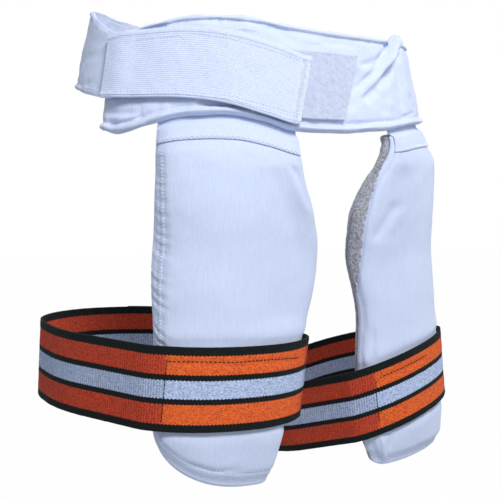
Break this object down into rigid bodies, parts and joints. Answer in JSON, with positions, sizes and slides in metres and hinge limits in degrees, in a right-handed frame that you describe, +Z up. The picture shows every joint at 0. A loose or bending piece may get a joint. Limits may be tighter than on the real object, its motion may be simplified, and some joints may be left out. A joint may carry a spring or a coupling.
{
  "type": "cricket thigh guard",
  "caption": "Padded waist belt with a hook-and-loop flap, a padded guard hanging over the front of each thigh, and a striped elastic strap round each thigh.",
  "frame": {"origin": "middle of the waist opening, at the height of the middle of the belt's front", "axes": "+Z up along the body, the wearer faces -Y, and the wearer's right is -X"},
  "size_m": [0.3938, 0.2683, 0.4153],
  "materials": {
    "cotton": "plain woven white cotton cover over foam",
    "ribbed_elastic": "fine ribbed white elastic",
    "loop_pile": "fuzzy white loop pile",
    "terry": "mottled grey-white terry",
    "striped_elastic": "woven elastic with orange, black and silver-white stripes",
    "hook_tape": "white nylon hook tape"
  },
  "bodies": {
    "root": {"waist_belt": "cotton", "closing_flap": "ribbed_elastic", "loop_patch": "loop_pile", "flap_hook_tape": "hook_tape", "right_thigh_pad": "cotton", "right_pad_lining": "terry", "right_pad_hanger": "cotton", "right_thigh_strap": "striped_elastic", "right_strap_tape": "hook_tape", "left_thigh_pad": "cotton", "left_pad_lining": "terry", "left_pad_hanger": "cotton", "left_thigh_strap": "striped_elastic", "left_strap_tape": "hook_tape"}
  },
  "joints": []
}
